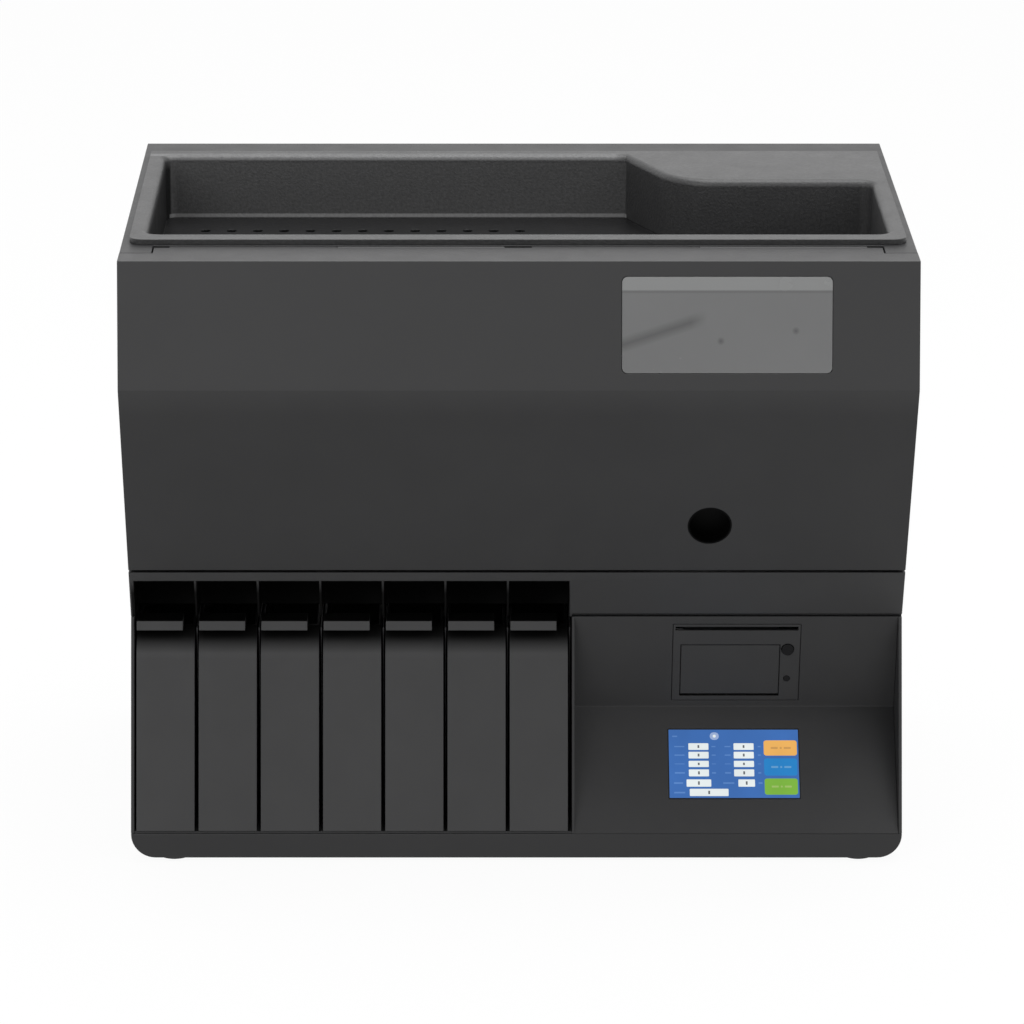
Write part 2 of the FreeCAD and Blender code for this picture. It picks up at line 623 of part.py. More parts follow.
def printer_bezel():
    gap = "seat_gap"
    frame = slab("bezel_frame", f"printer_x - printer_width / 2 + {gap}", f"printer_width - 2 * {gap}",
                 leaf(printer_y, f"(printer_bottom + {gap})", f"(printer_top - {gap})", "0", "bezel_depth"))
    door = slab("bezel_door", "door_x - door_width / 2 - door_gap", "door_width + 2 * door_gap",
                leaf(printer_y, "(door_bottom - 4 * door_gap)", "(door_top + door_gap)", "-bezel_depth",
                     "3 * bezel_depth"))
    slot = slab("bezel_slot", "printer_x - printer_width / 2 + slot_margin",
                "printer_width - 2 * slot_margin",
                leaf(printer_y, "(slot_height - slot_width / 2)", "(slot_height + slot_width / 2)",
                     "-bezel_depth", "2 * bezel_depth"))
    button = rod("bezel_button", "Y", "button_x", FRONT, "button_height", "button_radius + seat_gap",
                 "body_depth / 2")
    lamp = rod("bezel_lamp", "Y", "button_x", FRONT, "lamp_height", "lamp_radius + screw_gap",
               "body_depth / 2")
    y, z = door_axis()
    left, width = pin_span()
    bore = rod("bezel_pin_bore", "X", f"{left} - seat_gap", y, z, "door_pin_radius + running_gap",
               f"{width} + 2 * seat_gap")
    piece("printer_bezel", cut("bezel", frame, door, slot, button, lamp, bore))


def pin_span():
    """Left end and length of the pin that the printer's door turns on."""
    return ("(door_x - door_width / 2 - door_gap - door_pin_reach)",
            "(door_width + 2 * door_gap + 2 * door_pin_reach)")


def door_span():
    """Left end and width of the parts behind the printer's door."""
    return "(door_x - door_width / 2 + door_inset)", "(door_width - 2 * door_inset)"


def printer_body():
    """Open-fronted housing for the paper roll, fixed behind the bezel."""
    wall = "printer_wall"
    span, width = door_span()
    left, outer = f"{span} - door_gap - {wall}", f"{width} + 2 * door_gap + 2 * {wall}"
    low, high = "(printer_bottom + door_gap)", "(printer_top - control_wall)"
    shell = slab("printer_shell", left, outer, leaf(printer_y, low, high, "bezel_depth", "printer_depth"))
    inside = slab("printer_inside", f"{span} - door_gap", f"{width} + 2 * door_gap",
                  leaf(printer_y, f"({low} + {wall})", f"({high} - {wall})", "0",
                       f"printer_depth - {wall}"))
    y, z = door_axis()
    relief = rod("printer_relief", "X", f"{left} - {wall}", y, z, "door_relief", f"{outer} + 2 * {wall}")
    piece("printer_body", cut("printer", shell, inside, relief))


def printer_door():
    """Door with a knuckle and pin along its foot and two lugs that carry the platen roller."""
    span, width = door_span()
    y, z = door_axis()
    plate = slab("door_plate", "door_x - door_width / 2", "door_width",
                 leaf(printer_y, "door_bottom", "door_top", "0", "door_wall"))
    knuckle = rod("door_barrel", "X", span, y, z, "door_knuckle", width)
    pin_left, pin_length = pin_span()
    pin = rod("door_pin", "X", pin_left, y, z, "door_pin_radius", pin_length)
    roller_z = "(door_top - 2 * platen_radius)"
    roller_y = f"({printer_y(f'({roller_z} - platen_radius)')} + door_wall + platen_radius + seat_gap)"
    lugs = [box(f"door_lug_{i}", x, printer_y("door_top"), f"{roller_z} - platen_radius", "lug_wall",
                f"{roller_y} + platen_radius - {printer_y('door_top')}", "2 * platen_radius")
            for i, x in enumerate((span, f"{span} + {width} - lug_wall"))]
    clip = slab("lug_clip", span, width, leaf(printer_y, "door_bottom", "door_top", "-3 * door_wall", "0"))
    eye = rod("platen_eye", "X", f"{span} - lug_wall", roller_y, roller_z,
              "platen_pin_radius + running_gap", f"{width} + 2 * lug_wall")
    piece("printer_door", cut("door", join("door_joined", [plate, knuckle, pin] + lugs), clip, eye))
    roller = rod("platen", "X", f"{span} + lug_wall + seat_gap", roller_y, roller_z, "platen_radius",
                 f"{width} - 2 * lug_wall - 2 * seat_gap")
    axle = rod("platen_pin", "X", span, roller_y, roller_z, "platen_pin_radius", width)
    piece("platen_roller", join("platen_joined", [roller, axle]))


def paper_roll():
    """Roll of paper lying on the floor of the printer's housing."""
    y = f"({printer_y('printer_bottom')} + printer_depth - printer_wall - roll_radius - roll_setback)"
    z = "(printer_bottom + door_gap + printer_wall + roll_radius + seat_gap)"
    roll = rod("roll", "X", "door_x - paper_width / 2", y, z, "roll_radius", "paper_width")
    core = rod("roll_hole", "X", "door_x - paper_width", y, z, "roll_core", "2 * paper_width")
    piece("paper_roll", cut("paper", roll, core))


def printer_keys():
    piece("release_button", rod("button", "Y", "button_x", f"{printer_y('button_height')} - button_proud",
                                "button_height", "button_radius", "button_length"))
    piece("status_lamp", rod("lamp", "Y", "button_x", f"{printer_y('lamp_height')} - lamp_proud",
                             "lamp_height", "lamp_radius", "lamp_length"))


# Coin drawers

def drawer_bay():
    shelf_front = f"{toe_y('base_top')} + divider"
    shelf = box("shelf_plate", f"-{INNER}", shelf_front, "base_top", f"control_left + {INNER}",
                f"shelf_back - ({shelf_front})", "shelf")
    piece("drawer_shelf", shelf)
    walls = []
    for i in range(DRAWERS):
        x = f"{drawer_left(i)} + drawer_pitch - drawer_gap / 2 - divider / 2"
        walls.append(box(f"divider_{i}", x, f"{toe_y('drawer_top')} + 3 * panel", "base_top + shelf",
                         "divider", f"shelf_back - {toe_y('drawer_top')} - 3 * panel",
                         "drawer_top - base_top - shelf"))
    piece("drawer_dividers", group("dividers", walls))


def drawer_curve(back, down):
    """Corners along the rounded top of a drawer's front, moved back and down by a wall."""
    corners = []
    for step in range(CURVE_STEPS + 1):
        turn = math.pi / 2 * step / CURVE_STEPS
        z = f"(drawer_scoop_height + (drawer_top - drawer_scoop_height) * {math.sin(turn):.6f})"
        corners.append((f"{toe_y(z)} + drawer_scoop * {1 - math.cos(turn):.6f} + {back}", f"{z} - {down}"))
    return corners


def coin_drawer(i):
    """Open box with a sloping front that is rounded at its top, and a grip lip over it."""
    name = f"coin_drawer_{i + 1}"
    left, width, wall = drawer_left(i), "drawer_pitch - drawer_gap", "drawer_wall"
    low = "(base_top + shelf + seat_gap)"
    brim = f"{toe_y('drawer_top')} + drawer_scoop"
    outer = slab(name + "_outer", left, width, [(toe_y(low), low)] + drawer_curve("0", "0") + [
        ("drawer_back", "drawer_top"), ("drawer_back", low)])
    floor, above = f"({low} + {wall})", "grip_top + grip_thick"
    inner = slab(name + "_inner", f"{left} + {wall}", f"{width} - 2 * {wall}", [
        (f"{toe_y(floor)} + {wall}", floor)] + drawer_curve(wall, wall) + [
        (f"{brim} + {wall}", above), (f"drawer_back - {wall}", above), (f"drawer_back - {wall}", floor)])
    under = "(grip_top - grip_thick)"
    grip = slab(name + "_grip", f"{left} + grip_margin", "grip_width", [
        (f"{toe_y(under)} - grip_reach", under), (f"{toe_y('grip_top')} - grip_reach", "grip_top"),
        (f"{brim} + {wall}", "grip_top"), (f"{brim} + {wall}", "drawer_top - grip_root"),
        (f"{brim} - {wall}", "drawer_top - grip_root / 2")])
    piece(name, join(name + "_joined", [cut(name + "_box", outer, inner), grip]))


# Sorting deck

def chute_x(i):
    """Middle of drawer number i."""
    return f"({drawer_left(i)} + (drawer_pitch - drawer_gap) / 2)"


DECK_LOW = "(deck_height - deck_plate)"
BELT_Y = "(chute_y + chute_length + pulley_radius + belt_thick)"


def sort_deck():
    """Plate with a slot over each chute and the two axles of the belt pressed into it."""
    under = f"{DECK_LOW} - deck_plate"
    plate = box("deck_sheet", f"-{INNER}", "deck_front", DECK_LOW, f"2 * {INNER}", "deck_back - deck_front",
                "deck_plate")
    holes = [box(f"deck_slot_{i}", f"{chute_x(i)} - chute_width / 2", "chute_y", under, "chute_width",
                 "chute_length", "3 * deck_plate") for i in range(DRAWERS)]
    holes.append(rod("deck_shaft_hole", "Z", "disc_x", "disc_y", under, "shaft_radius + shaft_clearance",
                     "3 * deck_plate"))
    axles = [rod(name, "Z", x, BELT_Y, DECK_LOW, "axle_radius", "deck_plate + pulley_lift + pulley_height")
             for name, x in (("drive_axle", "belt_right_x"), ("idle_axle", "belt_left_x"))]
    piece("sort_deck", join("deck", [cut("deck_cut", plate, *holes)] + axles))
    rails = [box(f"rail_{i}", x, "deck_front", f"{DECK_LOW} - deck_rail", "panel", "deck_back - deck_front",
                 "deck_rail") for i, x in enumerate((f"-{INNER}", f"{INNER} - panel"))]
    piece("deck_rails", group("deck_side_rails", rails))
    fence_left = f"-{INNER} + deck_rail"
    piece("coin_fence", box("fence", fence_left, "deck_front", "deck_height",
                            f"disc_x - disc_radius - guard_wall - ({fence_left})", "fence_width",
                            "fence_height"))
    piece("coin_sensor", box("sensor", "belt_right_x - sensor_width / 2", "deck_front",
                             "deck_height + fence_height", "sensor_width", "sensor_length", "sensor_height"))


def coin_chutes():
    ducts = []
    wall = "chute_wall"
    for i in range(DRAWERS):
        left = f"{chute_x(i)} - chute_width / 2"
        tube = box(f"duct_{i}", f"{left} - {wall}", f"chute_y - {wall}", "chute_bottom",
                   f"chute_width + 2 * {wall}", f"chute_length + 2 * {wall}", f"{DECK_LOW} - chute_bottom")
        bore = box(f"duct_bore_{i}", left, "chute_y", "chute_bottom - cut_over", "chute_width",
                   "chute_length", "deck_height")
        ducts.append(cut(f"chute_{i}", tube, bore))
    piece("coin_chutes", group("chutes", ducts))


def sort_gates():
    """Flaps in the deck slots, each on a pivot along its back edge, with a solenoid behind it."""
    coils = []
    for i in range(GATES):
        x, width = f"{chute_x(i)} - chute_width / 2", "chute_width"
        y, z = "(chute_y + chute_length - pivot_radius - gate_gap)", "(deck_height - pivot_radius)"
        flap = box(f"flap_{i}", f"{x} + gate_gap", "chute_y + gate_gap", "deck_height - gate_thick",
                   f"{width} - 2 * gate_gap", f"{y} - chute_y - gate_gap", "gate_thick")
        pivot = rod(f"pivot_{i}", "X", f"{x} + seat_gap", y, z, "pivot_radius", f"{width} - 2 * seat_gap")
        piece(f"sort_gate_{i + 1}", join(f"gate_{i}", [flap, pivot]))
        coils.append(box(f"coil_{i}", f"{chute_x(i)} - solenoid_width / 2",
                         "chute_y + chute_length + 2 * chute_wall", f"{DECK_LOW} - solenoid_height",
                         "solenoid_width", "solenoid_length", "solenoid_height"))
    piece("gate_solenoids", group("solenoids", coils))


def disc_rod(name, low, radius, height):
    """Cylinder on the axis of the sorting disc."""
    return rod(name, "Z", "disc_x", "disc_y", low, radius, height)


def disc_drive():
    """Sorting disc on its shaft, the motor under the deck and the guard round the disc."""
    low, bore = "(deck_height + disc_lift)", "shaft_radius + running_gap"
    disc = join("disc_joined", [disc_rod("disc_plate", low, "disc_radius", "disc_thick"),
                                disc_rod("disc_hub", low, "hub_radius", "disc_thick + hub_height")])
    piece("sorting_disc", cut("disc", disc, disc_rod("disc_bore", f"{low} - cut_over", bore,
                                                     "disc_thick + cut_over")))
    base = f"({DECK_LOW} - motor_height)"
    foot = f"({base} + motor_height / 4)"
    piece("disc_shaft", disc_rod("shaft", foot, "shaft_radius", f"{low} + disc_thick - {foot}"))
    piece("disc_motor", cut("motor", disc_rod("motor_can", base, "motor_radius", "motor_height"),
                            disc_rod("motor_bore", f"{foot} - seat_gap", bore, "motor_height")))
    inside = "disc_radius + guard_gap"
    ring = disc_rod("guard_ring", "deck_height", f"{inside} + guard_wall", "guard_height")
    inner = disc_rod("guard_inner", "deck_height - cut_over", inside, "2 * guard_height")
    side = "(2 * disc_radius - guard_mouth / 2)"
    mouth = box("guard_mouth_box", "disc_x - 2 * disc_radius", "disc_y - 2 * disc_radius",
                "deck_height - cut_over", side, side, "2 * guard_height")
    piece("disc_guard", cut("guard", ring, inner, mouth))


def belt_loop(name, radius, low, height):
    """Solid with the outline of the belt round both pulleys."""
    ends = ("belt_left_x", "belt_right_x")
    run = box(name + "_run", "belt_left_x", f"{BELT_Y} - ({radius})", low, "belt_right_x - belt_left_x",
              f"2 * ({radius})", height)
    return join(name, [run] + [rod(f"{name}_{x}", "Z", x, BELT_Y, low, radius, height) for x in ends])


def transport_belt():
    """Belt over the deck slots, its two pulleys and the motor under the right one."""
    low = "(deck_height + pulley_lift)"
    for name, x in (("drive_pulley", "belt_right_x"), ("idle_pulley", "belt_left_x")):
        wheel = rod(name + "_wheel", "Z", x, BELT_Y, low, "pulley_radius", "pulley_height")
        bore = rod(name + "_bore", "Z", x, BELT_Y, f"{low} - cut_over", "axle_radius + running_gap",
                   "2 * pulley_height")
        piece(name, cut(name + "_cut", wheel, bore))
    outer = belt_loop("belt_outer", "pulley_radius + seat_gap + belt_thick", low, "pulley_height")
    inner = belt_loop("belt_inner", "pulley_radius + seat_gap", f"{low} - cut_over", "2 * pulley_height")
    piece("transport_belt", cut("belt", outer, inner))
    piece("belt_motor", rod("belt_motor_can", "Z", "belt_right_x", BELT_Y, f"{DECK_LOW} - motor_height",
                            "belt_motor_radius", "motor_height"))


def coin_throat():
    """Square duct that drops coins from the hopper's throat to the disc."""
    wall, top = "throat_wall", "(body_height - well_depth - well_wall)"
    left, front = f"throat_left - {wall}", f"{TOP_EDGE} + throat_front - {wall}"
    tube = box("throat_tube", left, front, "throat_bottom", f"throat_width + 2 * {wall}",
               f"throat_length + 2 * {wall}", f"{top} - throat_bottom")
    bore = box("throat_bore", "throat_left", f"{TOP_EDGE} + throat_front", "throat_bottom - cut_over",
               "throat_width", "throat_length", "well_depth + body_height - throat_bottom")
    piece("coin_throat", cut("throat_duct", tube, bore))


# Electrics

def electrics():
    gap = "seat_gap"
    piece("main_board", box("board", "board_x", f"{BACK} - panel - standoff - board_thick", "board_bottom",
                            "board_width", "board_thick", "board_height"))
    posts = []
    for i, (dx, dz) in enumerate((dx, dz) for dx in ("standoff_inset", "board_width - standoff_inset")
                                 for dz in ("standoff_inset", "board_height - standoff_inset")):
        posts.append(rod(f"standoff_{i}", "Y", f"board_x + {dx}", f"{BACK} - panel - standoff",
                         f"board_bottom + {dz}", "standoff_radius", "standoff"))
    piece("board_standoffs", group("standoffs", posts))
    piece("power_supply", box("supply", "supply_x", "supply_y", "foot_height + panel", "supply_width",
                              "supply_depth", "supply_height"))
    block = box("inlet_block", f"inlet_x + {gap}", f"{BACK} - inlet_depth", f"inlet_bottom + {gap}",
                f"inlet_width - 2 * {gap}", "inlet_depth", f"inlet_height - 2 * {gap}")
    socket = box("inlet_socket", "inlet_x + (inlet_width - socket_width) / 2", f"{BACK} - socket_depth",
                 "inlet_bottom + (inlet_height - socket_height) / 2", "socket_width", "2 * socket_depth",
                 "socket_height")
    piece("power_inlet", cut("inlet", block, socket))
    case = box("switch_case", f"switch_x + {gap}", f"{BACK} - switch_depth", f"inlet_bottom + {gap}",
               f"switch_width - 2 * {gap}", "switch_depth", f"switch_height - 2 * {gap}")
    well = box("switch_room", "switch_x + switch_rim", f"{BACK} - switch_well", "inlet_bottom + switch_rim",
               "switch_width - 2 * switch_rim", "2 * switch_well", "switch_height - 2 * switch_rim")
    piece("switch_body", cut("switch", case, well))
    piece("power_switch", box("rocker", f"switch_x + switch_rim + {gap}",
                              f"{BACK} - rocker_inset - rocker_depth",
                              "inlet_bottom + switch_rim + rocker_gap",
                              f"switch_width - 2 * switch_rim - 2 * {gap}", "rocker_depth",
                              "switch_height - 2 * switch_rim - 2 * rocker_gap"))


base_pan()
feet()
side_panels()
rear_panel()
top_frame()
hopper_tray()
front_cover()
viewing_window()
finger_cup()
cover_hinges()
drawer_lintel()
control_panel()
touch_screen()
printer_bezel()
printer_body()
printer_door()
paper_roll()
printer_keys()
drawer_bay()
for number_of_drawer in range(DRAWERS):
    coin_drawer(number_of_drawer)
sort_deck()
coin_chutes()
sort_gates()
disc_drive()
transport_belt()
coin_throat()
electrics()
doc.recompute()

# Nothing is written unless every object and every sub-part came out whole.
failed = [item.Name for item in doc.Objects if {"Invalid", "Error"} & set(item.State)]
failed += [name for name, item in PARTS.items() if item.Shape.isNull() or not item.Shape.isValid()]
if failed:
    raise RuntimeError(f"these objects failed: {failed}")
os.makedirs("parts", exist_ok=True)
for name, item in PARTS.items():
    item.Shape.exportStep(f"parts/{name}.step")
    print(name, len(item.Shape.Solids), round(item.Shape.Volume))
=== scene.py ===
import json
import math

import bmesh
import bpy
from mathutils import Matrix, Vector

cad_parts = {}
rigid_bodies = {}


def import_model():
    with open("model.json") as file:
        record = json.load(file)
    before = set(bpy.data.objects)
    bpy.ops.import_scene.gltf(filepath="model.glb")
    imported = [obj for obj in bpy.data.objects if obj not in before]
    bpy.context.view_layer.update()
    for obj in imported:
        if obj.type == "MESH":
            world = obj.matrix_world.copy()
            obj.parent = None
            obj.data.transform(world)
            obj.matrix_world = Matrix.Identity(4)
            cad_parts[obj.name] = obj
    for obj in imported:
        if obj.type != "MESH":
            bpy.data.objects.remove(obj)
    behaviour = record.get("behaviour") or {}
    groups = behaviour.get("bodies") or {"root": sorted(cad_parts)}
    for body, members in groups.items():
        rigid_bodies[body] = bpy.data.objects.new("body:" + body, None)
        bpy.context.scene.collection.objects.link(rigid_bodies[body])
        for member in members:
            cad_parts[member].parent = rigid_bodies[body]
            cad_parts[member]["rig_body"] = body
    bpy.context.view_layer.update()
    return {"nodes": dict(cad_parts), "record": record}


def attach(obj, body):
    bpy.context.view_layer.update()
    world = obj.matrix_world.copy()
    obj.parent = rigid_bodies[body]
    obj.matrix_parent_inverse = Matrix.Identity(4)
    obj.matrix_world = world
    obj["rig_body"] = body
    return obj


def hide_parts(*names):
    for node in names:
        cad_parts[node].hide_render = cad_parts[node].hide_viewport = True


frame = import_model()
nodes = frame["nodes"]
print("frame loaded:", len(nodes), "nodes")


def newMaterial(name):
    mat = bpy.data.materials.new(name)
    mat.use_nodes = True
    tree = mat.node_tree
    shader = tree.nodes["Principled BSDF"]
    return mat, tree, shader


def addNode(tree, kind, **values):
    node = tree.nodes.new(kind)
    for key, value in values.items():
        if hasattr(node, key):
            setattr(node, key, value)
        else:
            node.inputs[key.replace("_", " ")].default_value = value
    return node


def placeNoise(tree, scale, detail=3.0, stretch=(1, 1, 1)):
    coords = addNode(tree, "ShaderNodeTexCoord")
    mapping = addNode(tree, "ShaderNodeMapping")
    mapping.inputs["Scale"].default_value = stretch
    noise = addNode(tree, "ShaderNodeTexNoise", Scale=scale, Detail=detail)
    tree.links.new(coords.outputs["Object"], mapping.inputs["Vector"])
    tree.links.new(mapping.outputs["Vector"], noise.inputs["Vector"])
    return noise.outputs["Fac"]


def spread(tree, source, low, high, start=0.3, end=0.7):
    node = addNode(tree, "ShaderNodeMapRange")
    for name, value in (("From Min", start), ("From Max", end), ("To Min", low), ("To Max", high)):
        node.inputs[name].default_value = value
    tree.links.new(source, node.inputs["Value"])
    return node.outputs["Result"]


def blendNumbers(tree, factor, first, second):
    mix = addNode(tree, "ShaderNodeMix", data_type="FLOAT")
    tree.links.new(factor, mix.inputs[0])
    for socket, value in ((mix.inputs[2], first), (mix.inputs[3], second)):
        if isinstance(value, float):
            socket.default_value = value
        else:
            tree.links.new(value, socket)
    return mix.outputs[0]


def blendColours(tree, factor, first, second):
    mix = addNode(tree, "ShaderNodeMix", data_type="RGBA")
    tree.links.new(factor, mix.inputs[0])
    for socket, colour in ((mix.inputs[6], first), (mix.inputs[7], second)):
        if isinstance(colour, tuple):
            socket.default_value = (*colour, 1)
        else:
            tree.links.new(colour, socket)
    return mix.outputs[2]


def times(tree, first, second):
    node = addNode(tree, "ShaderNodeMath", operation="MULTIPLY")
    tree.links.new(first, node.inputs[0])
    tree.links.new(second, node.inputs[1])
    return node.outputs[0]


# where in the object a point lies: 1 inside a span of one axis, 0 outside it
def within(tree, axis, low, high, soft=0.0003):
    coords = addNode(tree, "ShaderNodeTexCoord")
    split = addNode(tree, "ShaderNodeSeparateXYZ")
    tree.links.new(coords.outputs["Object"], split.inputs[0])
    above = spread(tree, split.outputs[axis], 0, 1, low - soft, low + soft)
    below = spread(tree, split.outputs[axis], 1, 0, high - soft, high + soft)
    return times(tree, above, below)


# 1 where a point lies inside every span of a region
def regionOf(tree, spans):
    mask = within(tree, *spans[0])
    for span in spans[1:]:
        mask = times(tree, mask, within(tree, *span))
    return mask


# what a grained look has unless it says otherwise, with lengths in metres
usualGrain = dict(
    cloudScale=14, cloudDetail=4, wearScale=45, wearDetail=5, wear=0.03, grainDepth=0.0002, grainDetail=2,
    edgeRadius=0.0009, edgeSamples=4, rub=0.35, rubFrom=0.75, rubTo=0.995, specular=0.5, paintedShading=[],
)


# moulded or coated surface: cloudy colour, fine grain, rubbed edges, and painted light and shade over the
# patches listed in paintedShading
def grainFinish(name, ownLook):
    look = dict(usualGrain, **ownLook)
    mat, tree, shader = newMaterial(name)
    cloud = spread(tree, placeNoise(tree, look["cloudScale"], look["cloudDetail"]), 0, 1)
    base = blendColours(tree, cloud, look["dark"], look["light"])
    sheen = look["specular"]
    # painted light and shade: each patch lays its own lit or shaded colours and sheen over the surface
    for shadingPatch in look["paintedShading"]:
        mask = regionOf(tree, shadingPatch["spans"])
        base = blendColours(tree, mask, base, blendColours(tree, cloud, shadingPatch["dark"], shadingPatch["light"]))
        sheen = blendNumbers(tree, mask, sheen, shadingPatch["specular"])
    soft = addNode(tree, "ShaderNodeBevel", samples=look["edgeSamples"])
    soft.inputs["Radius"].default_value = look["edgeRadius"]
    shape = addNode(tree, "ShaderNodeNewGeometry")
    facing = addNode(tree, "ShaderNodeVectorMath", operation="DOT_PRODUCT")
    tree.links.new(soft.outputs["Normal"], facing.inputs[0])
    tree.links.new(shape.outputs["Normal"], facing.inputs[1])
    rub = spread(tree, facing.outputs["Value"], look["rub"], 0, look["rubFrom"], look["rubTo"])
    tree.links.new(blendColours(tree, rub, base, look["edge"]), shader.inputs["Base Color"])
    grain = placeNoise(tree, look["grainScale"], look["grainDetail"])
    wear = placeNoise(tree, look["wearScale"], look["wearDetail"])
    rough, worn = look["roughness"], look["wear"]
    tree.links.new(spread(tree, wear, rough - worn, rough + worn), shader.inputs["Roughness"])
    bump = addNode(tree, "ShaderNodeBump")
    bump.inputs["Strength"].default_value = look["grain"]
    bump.inputs["Distance"].default_value = look["grainDepth"]
    tree.links.new(grain, bump.inputs["Height"])
    tree.links.new(soft.outputs["Normal"], bump.inputs["Normal"])
    tree.links.new(bump.outputs["Normal"], shader.inputs["Normal"])
    if isinstance(sheen, float):
        shader.inputs["Specular IOR Level"].default_value = sheen
    else:
        tree.links.new(sheen, shader.inputs["Specular IOR Level"])
    return mat


# turned or brushed metal
metalLines = dict(detail=3, roughSpread=0.08, bump=0.12, depth=0.0001)


def metalFinish(name, look):
    mat, tree, shader = newMaterial(name)
    lines = placeNoise(tree, look["lineScale"], metalLines["detail"], look["stretch"])
    tree.links.new(blendColours(tree, spread(tree, lines, 0, 1), look["dark"], look["light"]),
                   shader.inputs["Base Color"])
    rough, worn = look["roughness"], metalLines["roughSpread"]
    tree.links.new(spread(tree, lines, rough - worn, rough + worn), shader.inputs["Roughness"])
    shader.inputs["Metallic"].default_value = 1.0
    bump = addNode(tree, "ShaderNodeBump")
    bump.inputs["Strength"].default_value = metalLines["bump"]
    bump.inputs["Distance"].default_value = metalLines["depth"]
    tree.links.new(lines, bump.inputs["Height"])
    tree.links.new(bump.outputs["Normal"], shader.inputs["Normal"])
    return mat


caseCoat = dict(dark=(0.0215, 0.0215, 0.0225), light=(0.0245, 0.0245, 0.0255), edge=(0.045, 0.045, 0.047),
                roughness=0.46, grainScale=2600, grain=0.3, specular=0.4)
coverCoat = dict(
    dark=(0.029, 0.029, 0.030), light=(0.032, 0.032, 0.033), edge=(0.055, 0.055, 0.057),
    roughness=0.44, grainScale=2600, grain=0.3, specular=0.43,
    paintedShading=[
        # painted shade: steep part under the crease, darker because it faces down, away from the light
        dict(dark=(0.023, 0.023, 0.024), light=(0.027, 0.027, 0.028), specular=0.34,
             spans=[("Z", 0.1, 0.365, 0.012)]),
    ])
panelCoat = dict(dark=(0.019, 0.019, 0.020), light=(0.023, 0.023, 0.024), edge=(0.026, 0.026, 0.027),
                 roughness=0.46, grainScale=2600, grain=0.3, rub=0.08, specular=0.38)
lintelCoat = dict(
    caseCoat, rub=0.08, specular=0.45,
    paintedShading=[
        # painted shade: finger scoops, nearly black where the shade falls inside them
        dict(dark=(0.003, 0.003, 0.003), light=(0.005, 0.005, 0.005), specular=0.06,
             spans=[("X", -0.284, 0.0392, 0.0004), ("Z", 0.15, 0.2025, 0.006)]),
    ])
hopperGrain = dict(
    dark=(0.030, 0.030, 0.031), light=(0.050, 0.050, 0.051), edge=(0.08, 0.08, 0.082),
    roughness=0.42, grainScale=620, grain=0.6, grainDepth=0.0004, cloudScale=420,
    paintedShading=[
        # painted light: wide top at the right, lighter because it faces the light above
        dict(dark=(0.042, 0.042, 0.043), light=(0.066, 0.066, 0.067), specular=0.5,
             spans=[("X", 0.05, 0.3, 0.04), ("Y", 0.06, 0.3, 0.01), ("Z", 0.4674, 0.48, 0.0003)]),
        # painted shade: floor of the well, darker down in the hollow
        dict(dark=(0.006, 0.006, 0.006), light=(0.012, 0.012, 0.013), specular=0.3,
             spans=[("Z", 0.40, 0.4194, 0.0003)]),
        # painted shade: left end wall of the well, darker in the hollow
        dict(dark=(0.009, 0.009, 0.009), light=(0.015, 0.015, 0.016), specular=0.2,
             spans=[("X", -0.3, -0.262, 0.002), ("Z", 0.40, 0.46, 0.002)]),
        # painted light: back wall lighter where it faces the light, a painted highlight along its foot and
        # another along its rim
        dict(dark=(0.07, 0.07, 0.071), light=(0.105, 0.105, 0.106), specular=0.5,
             spans=[("Z", 0.4194, 0.463, 0.001), ("Y", 0.1335, 0.139, 0.0005)]),
        dict(dark=(0.26, 0.26, 0.262), light=(0.34, 0.34, 0.342), specular=0.5,
             spans=[("Z", 0.4194, 0.4222, 0.0005), ("Y", 0.1325, 0.139, 0.0005)]),
        dict(dark=(0.11, 0.11, 0.112), light=(0.15, 0.15, 0.152), specular=0.5,
             spans=[("Z", 0.4645, 0.469, 0.0006), ("Y", 0.1340, 0.1415, 0.001), ("X", -0.3, 0.08, 0.004)]),
    ])
drawerGrain = dict(
    dark=(0.033, 0.033, 0.034), light=(0.039, 0.039, 0.040), edge=(0.06, 0.06, 0.062),
    roughness=0.48, grainScale=2600, grain=0.3, specular=0.45,
    paintedShading=[
        # painted shadow: hollow under the grip, darkened as the grip's shadow
        dict(dark=(0.005, 0.005, 0.005), light=(0.007, 0.007, 0.007), specular=0.08,
             spans=[("Z", 0.1545, 1, 0.0055), ("Z", 0.0, 0.1664, 0.0002)]),
        # painted shade: top of the grip, blackened where it sits in the shade under the lintel
        dict(dark=(0.002, 0.002, 0.002), light=(0.003, 0.003, 0.003), specular=0.03,
             spans=[("Z", 0.1732, 0.18, 0.0002)]),
    ])
printerShell = dict(dark=(0.020, 0.020, 0.021), light=(0.023, 0.023, 0.024), edge=(0.03, 0.03, 0.032),
                    roughness=0.44, grainScale=3000, grain=0.2, rub=0.08, specular=0.4)
blackShell = dict(dark=(0.007, 0.007, 0.0075), light=(0.010, 0.010, 0.0105), edge=(0.03, 0.03, 0.031),
                  roughness=0.5, grainScale=2400, grain=0.3, specular=0.22)
